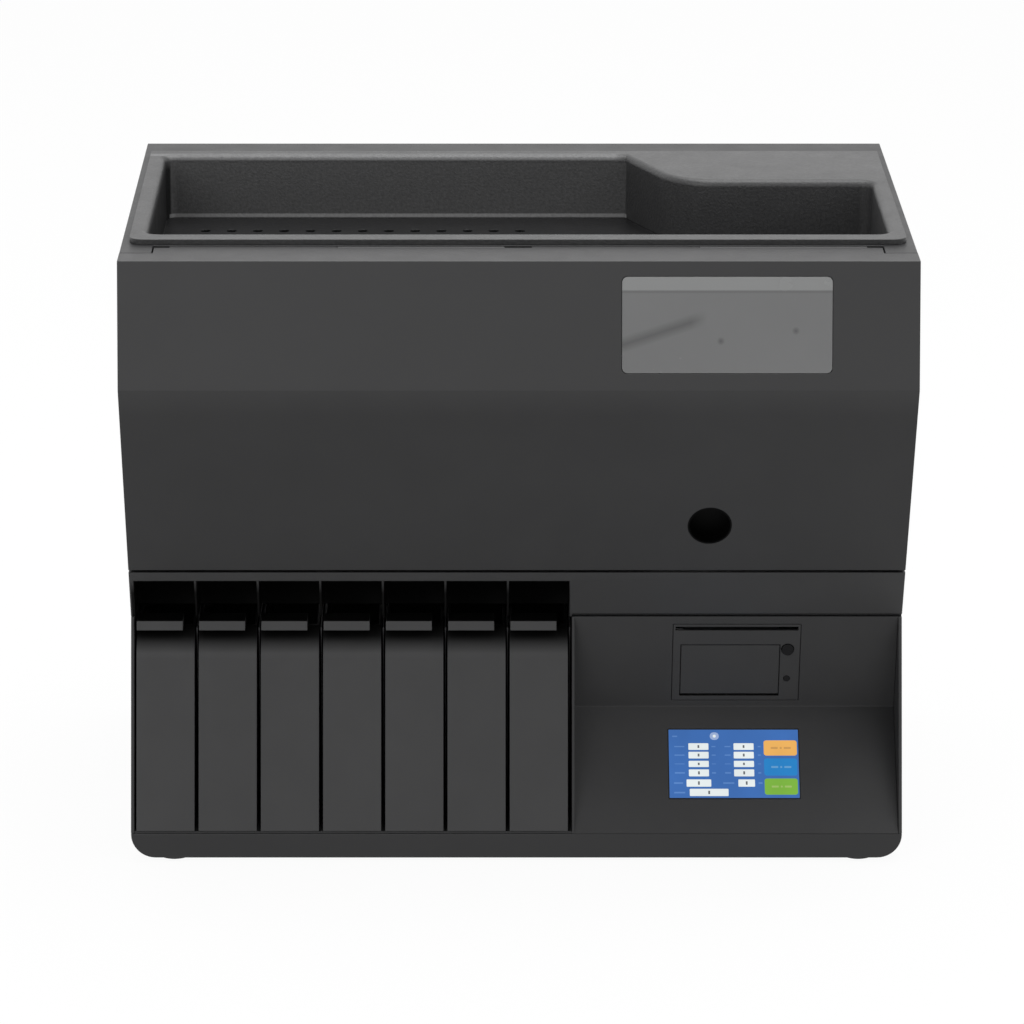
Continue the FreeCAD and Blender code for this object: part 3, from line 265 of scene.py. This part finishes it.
# painted shade: near-black finger cup, dark as the shade inside the hollow
cupPaintedShade = dict(dark=(0.001, 0.001, 0.001), light=(0.002, 0.002, 0.002), edge=(0.004, 0.004, 0.004),
                roughness=0.6, grainScale=2400, grain=0.3, specular=0.06)
ductShell = dict(dark=(0.38, 0.385, 0.39), light=(0.47, 0.475, 0.48), edge=(0.6, 0.6, 0.6),
                 roughness=0.45, grainScale=2000, grain=0.2)
rubberSkin = dict(dark=(0.012, 0.012, 0.012), light=(0.02, 0.02, 0.02), edge=(0.04, 0.04, 0.04),
                  roughness=0.8, grainScale=1800, grain=0.6)
discShell = dict(dark=(0.07, 0.07, 0.075), light=(0.10, 0.10, 0.105), edge=(0.2, 0.2, 0.2),
                 roughness=0.28, grainScale=1200, grain=0.15)
motorPaint = dict(dark=(0.05, 0.052, 0.056), light=(0.08, 0.082, 0.086), edge=(0.2, 0.2, 0.2),
                  roughness=0.38, grainScale=900, grain=0.25)
paperSkin = dict(dark=(0.80, 0.80, 0.77), light=(0.88, 0.88, 0.86), edge=(0.9, 0.9, 0.9),
                 roughness=0.75, grainScale=5000, grain=0.25)
boardSkin = dict(dark=(0.012, 0.07, 0.028), light=(0.02, 0.13, 0.05), edge=(0.3, 0.28, 0.12),
                 roughness=0.4, grainScale=700, grain=0.5, cloudScale=260)
lampLens = dict(dark=(0.004, 0.004, 0.005), light=(0.007, 0.007, 0.008), edge=(0.012, 0.012, 0.012),
                roughness=0.25, grainScale=2000, grain=0.1, specular=0.12)
zincSheet = dict(dark=(0.42, 0.42, 0.43), light=(0.60, 0.60, 0.61), roughness=0.36, lineScale=60,
                 stretch=(1, 14, 14))
pressedCase = dict(dark=(0.55, 0.55, 0.56), light=(0.68, 0.68, 0.69), roughness=0.4, lineScale=80,
                   stretch=(1, 10, 10))

finishes = {
    "case": grainFinish("caseCoat", caseCoat),
    "cover": grainFinish("coverCoat", coverCoat),
    "hopper": grainFinish("hopperGrain", hopperGrain),
    "drawer": grainFinish("drawerGrain", drawerGrain),
    "printer": grainFinish("printerShell", printerShell),
    "black": grainFinish("blackShell", blackShell),
    "duct": grainFinish("ductShell", ductShell),
    "rubber": grainFinish("rubberSkin", rubberSkin),
    "disc": grainFinish("discShell", discShell),
    "motor": grainFinish("motorPaint", motorPaint),
    "paper": grainFinish("paperSkin", paperSkin),
    "board": grainFinish("boardSkin", boardSkin),
    "lamp": grainFinish("lampLens", lampLens),
    "steel": metalFinish("zincSheet", zincSheet),
    "supply": metalFinish("pressedCase", pressedCase),
}


# smoky sheet of the viewing window: a paler band along its top, a duct's edge and two screws behind it
smokySheet = dict(
    dark=(0.25, 0.252, 0.254), light=(0.275, 0.277, 0.279), hazeScale=9, hazeDetail=3, alpha=0.86,
    roughLow=0.15, roughHigh=0.28, roughScale=60, roughDetail=4,
    band=(0.39, 0.395, 0.395), bandFoot=0.4437, bandTop=1, bandSoft=0.0008,
    line=(0.215, 0.217, 0.218), lineFoot=0.4420, lineSoft=0.0004,
    shadow=(0.15, 0.152, 0.153), edgeStart=(0.0727, 0.4057), edgeRise=0.323, edgeWide=0.006,
    edgeEnd=0.128, edgeSoft=0.006,
    screw=(0.13, 0.13, 0.132), screws=((0.1435, 0.4087), (0.1967, 0.4158)), screwRadius=0.0030,
)


def windowFinish():
    look = smokySheet
    mat, tree, shader = newMaterial("smokySheet")
    haze = spread(tree, placeNoise(tree, look["hazeScale"], look["hazeDetail"]), 0, 1)
    colour = blendColours(tree, haze, look["dark"], look["light"])
    band = within(tree, "Z", look["bandFoot"], look["bandTop"], look["bandSoft"])
    colour = blendColours(tree, band, colour, look["band"])
    line = within(tree, "Z", look["lineFoot"], look["bandFoot"], look["lineSoft"])
    colour = blendColours(tree, line, colour, look["line"])
    coords = addNode(tree, "ShaderNodeTexCoord")
    split = addNode(tree, "ShaderNodeSeparateXYZ")
    tree.links.new(coords.outputs["Object"], split.inputs[0])
    climb = addNode(tree, "ShaderNodeMath", operation="MULTIPLY_ADD")
    tree.links.new(split.outputs["X"], climb.inputs[0])
    climb.inputs[1].default_value = -look["edgeRise"]
    tree.links.new(split.outputs["Z"], climb.inputs[2])
    start = look["edgeStart"][1] - look["edgeRise"] * look["edgeStart"][0]
    above = spread(tree, climb.outputs[0], 0, 1, start - look["edgeWide"], start)
    below = spread(tree, climb.outputs[0], 1, 0, start, start + look["edgeWide"])
    along = within(tree, "X", 0, look["edgeEnd"], look["edgeSoft"])
    edge = times(tree, times(tree, above, below), along)
    colour = blendColours(tree, edge, colour, look["shadow"])
    for x, z in look["screws"]:
        reach = addNode(tree, "ShaderNodeVectorMath", operation="DISTANCE")
        flat = addNode(tree, "ShaderNodeCombineXYZ")
        tree.links.new(split.outputs["X"], flat.inputs["X"])
        tree.links.new(split.outputs["Z"], flat.inputs["Z"])
        tree.links.new(flat.outputs[0], reach.inputs[0])
        reach.inputs[1].default_value = (x, 0, z)
        spot = spread(tree, reach.outputs["Value"], 1, 0, 0.0, look["screwRadius"])
        colour = blendColours(tree, spot, colour, look["screw"])
    tree.links.new(colour, shader.inputs["Base Color"])
    smear = placeNoise(tree, look["roughScale"], look["roughDetail"])
    sheen = spread(tree, smear, look["roughLow"], look["roughHigh"])
    tree.links.new(sheen, shader.inputs["Roughness"])
    shader.inputs["Alpha"].default_value = look["alpha"]
    mat.surface_render_method = "BLENDED"
    return mat


# display glass, dark and glossy round the lit picture
displayGlass = dict(dark=(0.008, 0.009, 0.012), light=(0.014, 0.015, 0.018), smearScale=40, smearDetail=5,
                    roughLow=0.05, roughHigh=0.19, roughScale=90, roughDetail=5)


def glassFinish():
    look = displayGlass
    mat, tree, shader = newMaterial("displayGlass")
    smear = spread(tree, placeNoise(tree, look["smearScale"], look["smearDetail"]), 0, 1)
    colour = blendColours(tree, smear, look["dark"], look["light"])
    tree.links.new(colour, shader.inputs["Base Color"])
    rough = placeNoise(tree, look["roughScale"], look["roughDetail"])
    sheen = spread(tree, rough, look["roughLow"], look["roughHigh"])
    tree.links.new(sheen, shader.inputs["Roughness"])
    return mat


finishes["window"] = windowFinish()
finishes["screen"] = glassFinish()
slotOf = {part["node"]: part["material_slot"] for part in frame["record"]["subparts"]}
finishOf = {name: finishes[slotOf[name]] for name in nodes}
finishOf["control_panel"] = grainFinish("panelCoat", panelCoat)
finishOf["drawer_lintel"] = grainFinish("lintelCoat", lintelCoat)
finishOf["finger_cup"] = grainFinish("cupPaintedShade", cupPaintedShade)
finishOf["release_button"] = finishes["lamp"]
for name, node in nodes.items():
    node.data.materials.clear()
    node.data.materials.append(finishOf[name])
print("finishes set:", len(finishes))


def bodyOf(name):
    return nodes[name]["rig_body"]


def linkMesh(name, mesh):
    piece = bpy.data.objects.new(name, mesh)
    bpy.context.scene.collection.objects.link(piece)
    return piece


# moulded pieces get their rounded edges here, in millimetres
edgeRounds = {
    "front_cover": 1.6, "hopper_tray": 1.6, "top_frame": 0.6, "base_pan": 0.8, "drawer_lintel": 0.8,
    "control_panel": 0.3, "printer_bezel": 0.5, "printer_door": 0.6, "release_button": 0.5,
    "left_side_panel": 0.5, "right_side_panel": 0.5, "rear_panel": 0.4, "power_inlet": 0.6,
    "power_switch": 0.5, "rubber_feet": 0.6, "viewing_window": 0.3, "sorting_disc": 1.0, "disc_motor": 2.0,
    "belt_motor": 2.0, "coin_sensor": 1.0, "power_supply": 0.8, "status_lamp": 0.5,
}
drawers = dict(count=7, edgeRound=1.4)
for number in range(drawers["count"]):
    edgeRounds[f"coin_drawer_{number + 1}"] = drawers["edgeRound"]


# edges turning by more than sharpTurn are rounded; flatTurn joins the CAD mesh's flat triangles (degrees)
rounding = dict(segments=3, sharpTurn=25, flatTurn=0.5, weld=1e-6)


def roundEdges(name, radius):
    mesh = bpy.data.meshes.new(name + "Rounded")
    work = bmesh.new()
    work.from_mesh(nodes[name].data)
    bmesh.ops.remove_doubles(work, verts=work.verts, dist=rounding["weld"])
    bmesh.ops.dissolve_limit(work, angle_limit=math.radians(rounding["flatTurn"]), verts=work.verts,
                             edges=work.edges)
    work.to_mesh(mesh)
    work.free()
    piece = linkMesh(name + "Rounded", mesh)
    mesh.materials.clear()
    mesh.materials.append(finishOf[name])
    bevel = piece.modifiers.new("rounding", "BEVEL")
    bevel.width = radius / 1000
    bevel.segments = rounding["segments"]
    bevel.limit_method = "ANGLE"
    bevel.angle_limit = math.radians(rounding["sharpTurn"])
    bevel.use_clamp_overlap = True
    bevel.loop_slide = False
    bevel.harden_normals = True
    for face in mesh.polygons:
        face.use_smooth = True
    mesh.set_sharp_from_angle(angle=math.radians(rounding["sharpTurn"]))
    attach(piece, bodyOf(name))
    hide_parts(name)
    return piece


rounded = {name: roundEdges(name, radius) for name, radius in edgeRounds.items()}
print("rounded pieces:", len(rounded))


# the lit picture on the touch screen: places in millimetres, colours as the display gives them out
screenPicture = dict(
    left=113.8, low=43.2, high=83.8, width=96.4, tallShare=0.6, lift=0.06, patchLift=0.05, markLift=0.1,
    field=(0.040, 0.150, 0.46), white=(0.84, 0.90, 0.90), label=(0.10, 0.24, 0.58), icon=(0.33, 0.44, 0.70),
    orange=(0.88, 0.46, 0.11), orangeMark=(0.62, 0.32, 0.09), blue=(0.012, 0.23, 0.60),
    blueMark=(0.13, 0.36, 0.66), green=(0.21, 0.48, 0.046), greenMark=(0.36, 0.55, 0.14),
    digit=(0.13, 0.14, 0.15),
)
screenColours = ("field", "white", "label", "icon", "orange", "orangeMark", "blue", "blueMark", "green",
                 "greenMark", "digit")
screenFoot = dict(y=-0.1525, z=0.022)   # where the sloping face meets the base
screenBend = dict(y=-0.0845, z=0.098)   # where it meets the printer's face
# columns and rows that place the patches, counted to the right and down
screenLayout = dict(
    left=668.5, wide=129.0, foot=799.3, tall=71.6,
    coinRows=((742, 749), (751, 758), (760.5, 767), (769.5, 776.8)), coinBoxes=((688, 708), (733, 753)),
    coinLabels=((674, 684), (724, 730), (711, 715), (757, 760)), labelInset=2.9,
    totalRow=(780, 787.6), totalBoxes=((685.5, 710), (737, 753.5)),
    totalLabelRow=(783, 784.6), totalLabels=((673, 682), (722, 733), (757, 761)),
    sumBox=(688.5, 789.8, 727, 797.4), sumLabel=(673, 793, 684, 794.6),
    buttons=((739, 755, "orange"), (758, 776, "blue"), (779, 796, "green")), buttonColumns=(763, 796),
    buttonMarks=((770, 777), (779, 781), (783, 790)), markHalf=1,
    icon=(709.5, 730.5, 718.5, 738.5), iconMark=(712.5, 733, 715.5, 736), title=(672, 734, 677, 735.4),
    digitHalf=0.9, digitInset=2,
)
# corner radii of the patches, as shares of the picture's width, and the steps round a corner
patchCorners = dict(field=0.004, box=0.006, line=0.002, button=0.02, mark=0.004, icon=0.03, iconMark=0.01,
                    title=0.003, steps=4)
litLook = dict(glow=1.0, deep=0.86, cloudScale=30, cloudDetail=2, base=(0.01, 0.01, 0.012), specular=0.15,
               roughLow=0.16, roughHigh=0.26, roughScale=120, roughDetail=4)


def litFinish(name, colour):
    mat, tree, shader = newMaterial(name)
    deep = tuple(value * litLook["deep"] for value in colour)
    cloud = spread(tree, placeNoise(tree, litLook["cloudScale"], litLook["cloudDetail"]), 0, 1)
    tree.links.new(blendColours(tree, cloud, colour, deep), shader.inputs["Emission Color"])
    shader.inputs["Base Color"].default_value = (*litLook["base"], 1)
    shader.inputs["Emission Strength"].default_value = litLook["glow"]
    shader.inputs["Specular IOR Level"].default_value = litLook["specular"]
    rough = placeNoise(tree, litLook["roughScale"], litLook["roughDetail"])
    sheen = spread(tree, rough, litLook["roughLow"], litLook["roughHigh"])
    tree.links.new(sheen, shader.inputs["Roughness"])
    return mat


def onScreen(x, rise, lift):
    run = Vector((0, screenBend["y"] - screenFoot["y"], screenBend["z"] - screenFoot["z"]))
    out = Vector((0, -run.z, run.y)).normalized()
    start = (screenPicture["low"] / 1000 - screenFoot["z"]) / run.z
    end = (screenPicture["high"] / 1000 - screenFoot["z"]) / run.z
    foot = Vector((0, screenFoot["y"], screenFoot["z"]))
    point = foot + run * (start + (end - start) * rise) + out * lift / 1000
    point.x = (screenPicture["left"] + screenPicture["width"] * x) / 1000
    return point


def roundedPatch(work, x0, y0, x1, y1, corner, lift, index):
    tall = screenPicture["tallShare"]
    steps = patchCorners["steps"]
    points = []
    for cx, cy, turn in ((x1, y1, 0), (x0, y1, 90), (x0, y0, 180), (x1, y0, 270)):
        inX = corner if cx == x0 else -corner
        inY = corner / tall if cy == y0 else -corner / tall
        for step in range(steps + 1):
            angle = math.radians(turn + step * 90 / steps)
            points.append((cx + inX + corner * math.cos(angle),
                           cy + inY + corner / tall * math.sin(angle)))
    face = work.faces.new([work.verts.new(onScreen(px, py, lift)) for px, py in points])
    face.material_index = index


def buildScreenPicture():
    look, layout, corners = screenPicture, screenLayout, patchCorners
    work = bmesh.new()

    def column(x):
        return (x - layout["left"]) / layout["wide"]

    def row(y):
        return (layout["foot"] - y) / layout["tall"]

    def patch(x0, top, x1, foot, corner, lift, colour):
        roundedPatch(work, column(x0), row(foot), column(x1), row(top), corners[corner],
                     look["lift"] + look[lift], screenColours.index(colour))

    def numberBox(x0, top, x1, foot):
        patch(x0, top, x1, foot, "box", "patchLift", "white")
        middle, half, inset = (x0 + x1) / 2, layout["digitHalf"], layout["digitInset"]
        patch(middle - half, top + inset, middle + half, foot - inset, "line", "markLift", "digit")

    roundedPatch(work, 0, 0, 1, 1, corners["field"], look["lift"], screenColours.index("field"))
    for top, foot in layout["coinRows"]:
        for x0, x1 in layout["coinBoxes"]:
            numberBox(x0, top, x1, foot)
        inset = layout["labelInset"]
        for x0, x1 in layout["coinLabels"]:
            patch(x0, top + inset, x1, foot - inset, "line", "patchLift", "label")
    top, foot = layout["totalRow"]
    for x0, x1 in layout["totalBoxes"]:
        numberBox(x0, top, x1, foot)
    top, foot = layout["totalLabelRow"]
    for x0, x1 in layout["totalLabels"]:
        patch(x0, top, x1, foot, "line", "patchLift", "label")
    numberBox(*layout["sumBox"])
    patch(*layout["sumLabel"], "line", "patchLift", "label")
    left, right = layout["buttonColumns"]
    for top, foot, colour in layout["buttons"]:
        patch(left, top, right, foot, "button", "patchLift", colour)
        middle, half = (top + foot) / 2, layout["markHalf"]
        for x0, x1 in layout["buttonMarks"]:
            patch(x0, middle - half, x1, middle + half, "mark", "markLift", colour + "Mark")
    patch(*layout["icon"], "icon", "patchLift", "icon")
    patch(*layout["iconMark"], "iconMark", "markLift", "white")
    patch(*layout["title"], "title", "patchLift", "label")
    mesh = bpy.data.meshes.new("screenPicture")
    work.to_mesh(mesh)
    work.free()
    for colour in screenColours:
        mesh.materials.append(litFinish("lit" + colour.capitalize(), look[colour]))
    piece = linkMesh("screenPicture", mesh)
    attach(piece, bodyOf("touch_screen"))


buildScreenPicture()
print("screen picture drawn")


# pale floor and white surroundings
floorLook = dict(size=30, drop=0.0005, colour=(0.42, 0.42, 0.42), roughness=0.9, share=0.86, white=1.1)


def whiteRays(tree):
    path = addNode(tree, "ShaderNodeLightPath")
    seen = path.outputs["Is Camera Ray"]
    for kind in ("Is Glossy Ray", "Is Transmission Ray"):
        either = addNode(tree, "ShaderNodeMath", operation="MAXIMUM")
        tree.links.new(seen, either.inputs[0])
        tree.links.new(path.outputs[kind], either.inputs[1])
        seen = either.outputs[0]
    return seen


def buildFloor():
    bpy.ops.mesh.primitive_plane_add(size=floorLook["size"], location=(0, 0, -floorLook["drop"]))
    floor = bpy.context.object
    floor.name = "floor"
    mat, tree, shader = newMaterial("paleFloor")
    shader.inputs["Base Color"].default_value = (*floorLook["colour"], 1)
    shader.inputs["Roughness"].default_value = floorLook["roughness"]
    glow = addNode(tree, "ShaderNodeEmission")
    glow.inputs["Strength"].default_value = floorLook["white"]
    share = addNode(tree, "ShaderNodeMath", operation="MULTIPLY")
    share.inputs[1].default_value = floorLook["share"]
    tree.links.new(whiteRays(tree), share.inputs[0])
    mix = addNode(tree, "ShaderNodeMixShader")
    tree.links.new(share.outputs[0], mix.inputs[0])
    tree.links.new(shader.outputs[0], mix.inputs[1])
    tree.links.new(glow.outputs[0], mix.inputs[2])
    tree.links.new(mix.outputs[0], tree.nodes["Material Output"].inputs["Surface"])
    floor.data.materials.append(mat)


studio = dict(fill=0.40, white=1.05)


def buildWorld():
    world = bpy.data.worlds.new("studio")
    bpy.context.scene.world = world
    world.use_nodes = True
    tree = world.node_tree
    fill = tree.nodes["Background"]
    fill.inputs["Color"].default_value = (1, 1, 1, 1)
    fill.inputs["Strength"].default_value = studio["fill"]
    white = addNode(tree, "ShaderNodeBackground")
    white.inputs["Color"].default_value = (1, 1, 1, 1)
    white.inputs["Strength"].default_value = studio["white"]
    mix = addNode(tree, "ShaderNodeMixShader")
    tree.links.new(whiteRays(tree), mix.inputs[0])
    tree.links.new(fill.outputs[0], mix.inputs[1])
    tree.links.new(white.outputs[0], mix.inputs[2])
    tree.links.new(mix.outputs[0], tree.nodes["World Output"].inputs["Surface"])


lamps = {
    "overhead": dict(place=(0.2, 0.3, 2.6), aim=(0, 0, 0.3), size=2.2, power=40),
    "front": dict(place=(-1.4, -2.8, 1.9), aim=(0, 0, 0.25), size=1.8, power=16),
    "right": dict(place=(2.4, -1.2, 1.6), aim=(0, 0, 0.25), size=1.4, power=6),
}


def buildLamps():
    for name, look in lamps.items():
        data = bpy.data.lights.new(name, "AREA")
        data.shape = "DISK"
        data.size = look["size"]
        data.energy = look["power"]
        lamp = bpy.data.objects.new(name, data)
        lamp.location = look["place"]
        toward = Vector(look["aim"]) - Vector(look["place"])
        lamp.rotation_euler = toward.to_track_quat("-Z", "Y").to_euler()
        bpy.context.scene.collection.objects.link(lamp)


photoCamera = dict(place=(-0.041, -3.610, 1.351), pitch=72.657, lens=175.8, sensor=36, shift=0.0498)


def buildCamera():
    data = bpy.data.cameras.new("photoCamera")
    data.lens = photoCamera["lens"]
    data.sensor_width = photoCamera["sensor"]
    data.shift_x = photoCamera["shift"]
    camera = bpy.data.objects.new("photoCamera", data)
    camera.location = photoCamera["place"]
    camera.rotation_euler = (math.radians(photoCamera["pitch"]), 0, 0)
    bpy.context.scene.collection.objects.link(camera)
    bpy.context.scene.camera = camera


buildFloor()
buildWorld()
buildLamps()
buildCamera()
bpy.context.scene.view_settings.view_transform = "Standard"
print("studio ready")
